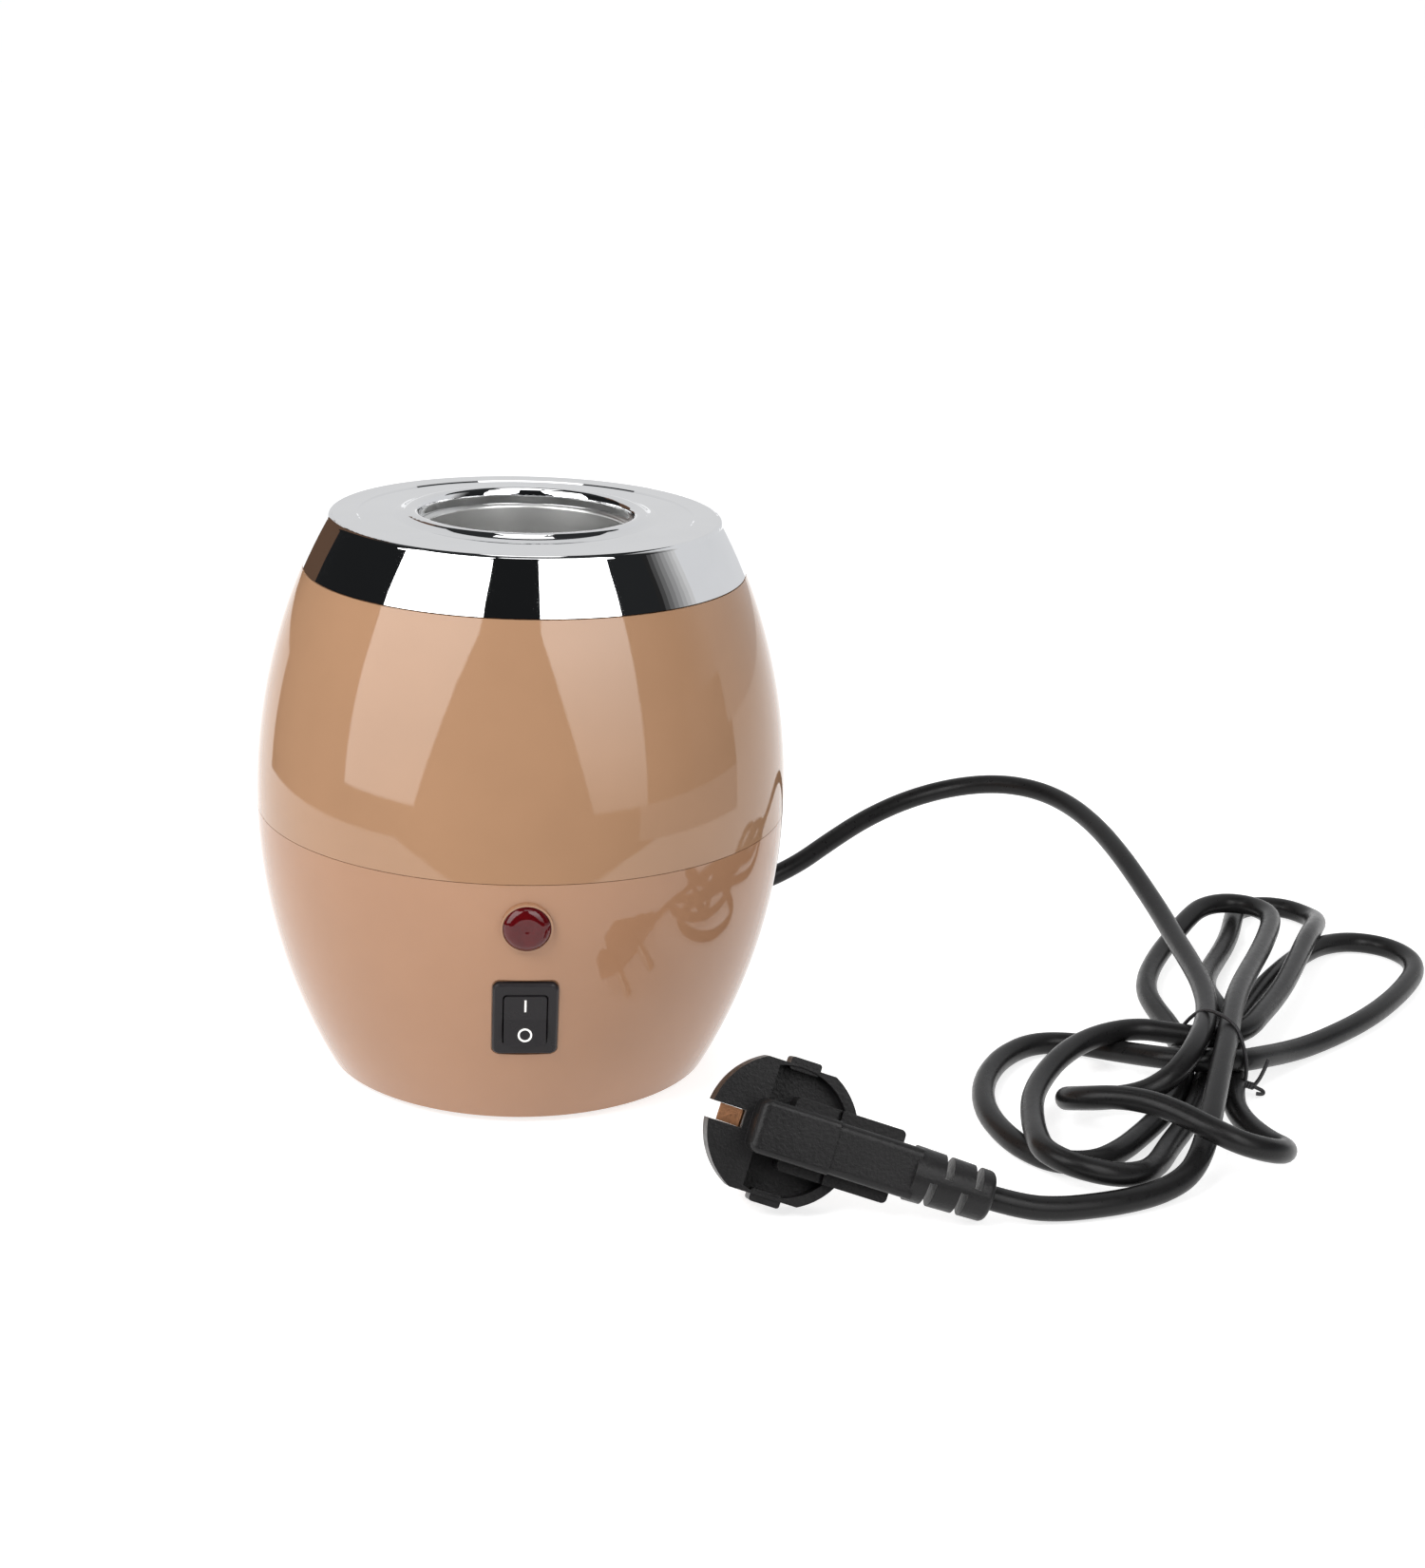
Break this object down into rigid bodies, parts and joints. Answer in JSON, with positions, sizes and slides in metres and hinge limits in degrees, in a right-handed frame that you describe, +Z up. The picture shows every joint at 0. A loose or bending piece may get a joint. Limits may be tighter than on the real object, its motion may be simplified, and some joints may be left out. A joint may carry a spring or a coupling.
{
  "type": "massage oil bottle warmer",
  "caption": "Barrel-shaped electric warmer with a chrome top ring, an aluminium bottle well, a pilot lamp, a rocker switch and a mains lead tied in a hank.",
  "frame": {"origin": "on the table under the centre of the pot, at the underside of its feet", "axes": "+Z up along the well, -Y towards the front with the switch and lamp, +X to the user's right, where the lead lies"},
  "size_m": [0.3574, 0.2729, 0.1568],
  "materials": {
    "shell_tan": "glossy",
    "base_tan": "fine matte",
    "chrome": "mirror bright",
    "well_aluminium": "satin, turned",
    "switch_black": "satin",
    "mark_white": "printed",
    "lens_red": "clear dark red",
    "lamp_body": "satin",
    "bulb_glass": "clear",
    "cord_black": "satin",
    "plug_black": "fine grain",
    "pin_nickel": "nickel plated",
    "brass": "satin",
    "steel": "zinc plated",
    "foot_rubber": "matte",
    "seal_silicone": "matte",
    "heater_silicone": "matte",
    "glass_felt": "woven",
    "nylon_white": "satin",
    "bakelite": "satin",
    "fuse_white": "glazed",
    "wire_brown": "satin",
    "wire_blue": "satin",
    "wire_earth_green": "satin",
    "wire_white": "satin",
    "tie_black": "satin"
  },
  "bodies": {
    "pot": {"lower_shell": "shell_tan", "upper_shell": "shell_tan", "base_plate": "base_tan", "rubber_feet": "foot_rubber", "base_screws": "steel", "shell_screws": "steel", "top_ring": "chrome", "ring_screws": "steel", "warming_well": "well_aluminium", "well_seal": "seal_silicone", "heater_band": "heater_silicone", "heater_clamps": "steel", "clamp_screws": "steel", "insulation_sleeve": "glass_felt", "thermostat": "bakelite", "thermostat_screws": "steel", "thermal_fuse": "fuse_white", "lamp_lens": "lens_red", "lamp_body": "lamp_body", "lamp_clip": "steel", "neon_bulb": "bulb_glass", "switch_housing": "switch_black", "switch_terminals": "brass", "terminal_block": "nylon_white", "terminal_screws": "steel", "cord_clamp": "nylon_white", "cord_clamp_screws": "steel", "inner_cord": "cord_black", "cable_gland": "cord_black", "earth_tag": "brass", "earth_screw": "steel", "wire_live": "wire_brown", "wire_neutral": "wire_blue", "wire_earth": "wire_earth_green", "wire_switched": "wire_brown", "wire_heater": "wire_white", "wire_return": "wire_white", "wire_lamp": "wire_blue", "cord_lead": "cord_black", "cord_tail": "cord_black", "cord_hank": "cord_black", "cord_tie": "tie_black", "plug_body": "plug_black", "plug_pins": "pin_nickel", "plug_earth_contacts": "brass"},
    "rocker": {"switch_rocker": "switch_black", "rocker_marks": "mark_white"}
  },
  "joints": [
    {"name": "rocker_tilt", "type": "hinge", "parent": "pot", "child": "rocker", "pos_m": [0, -0.06615, 0.03649], "axis": [1, 0, 0], "range_deg": [0, 18]}
  ]
}
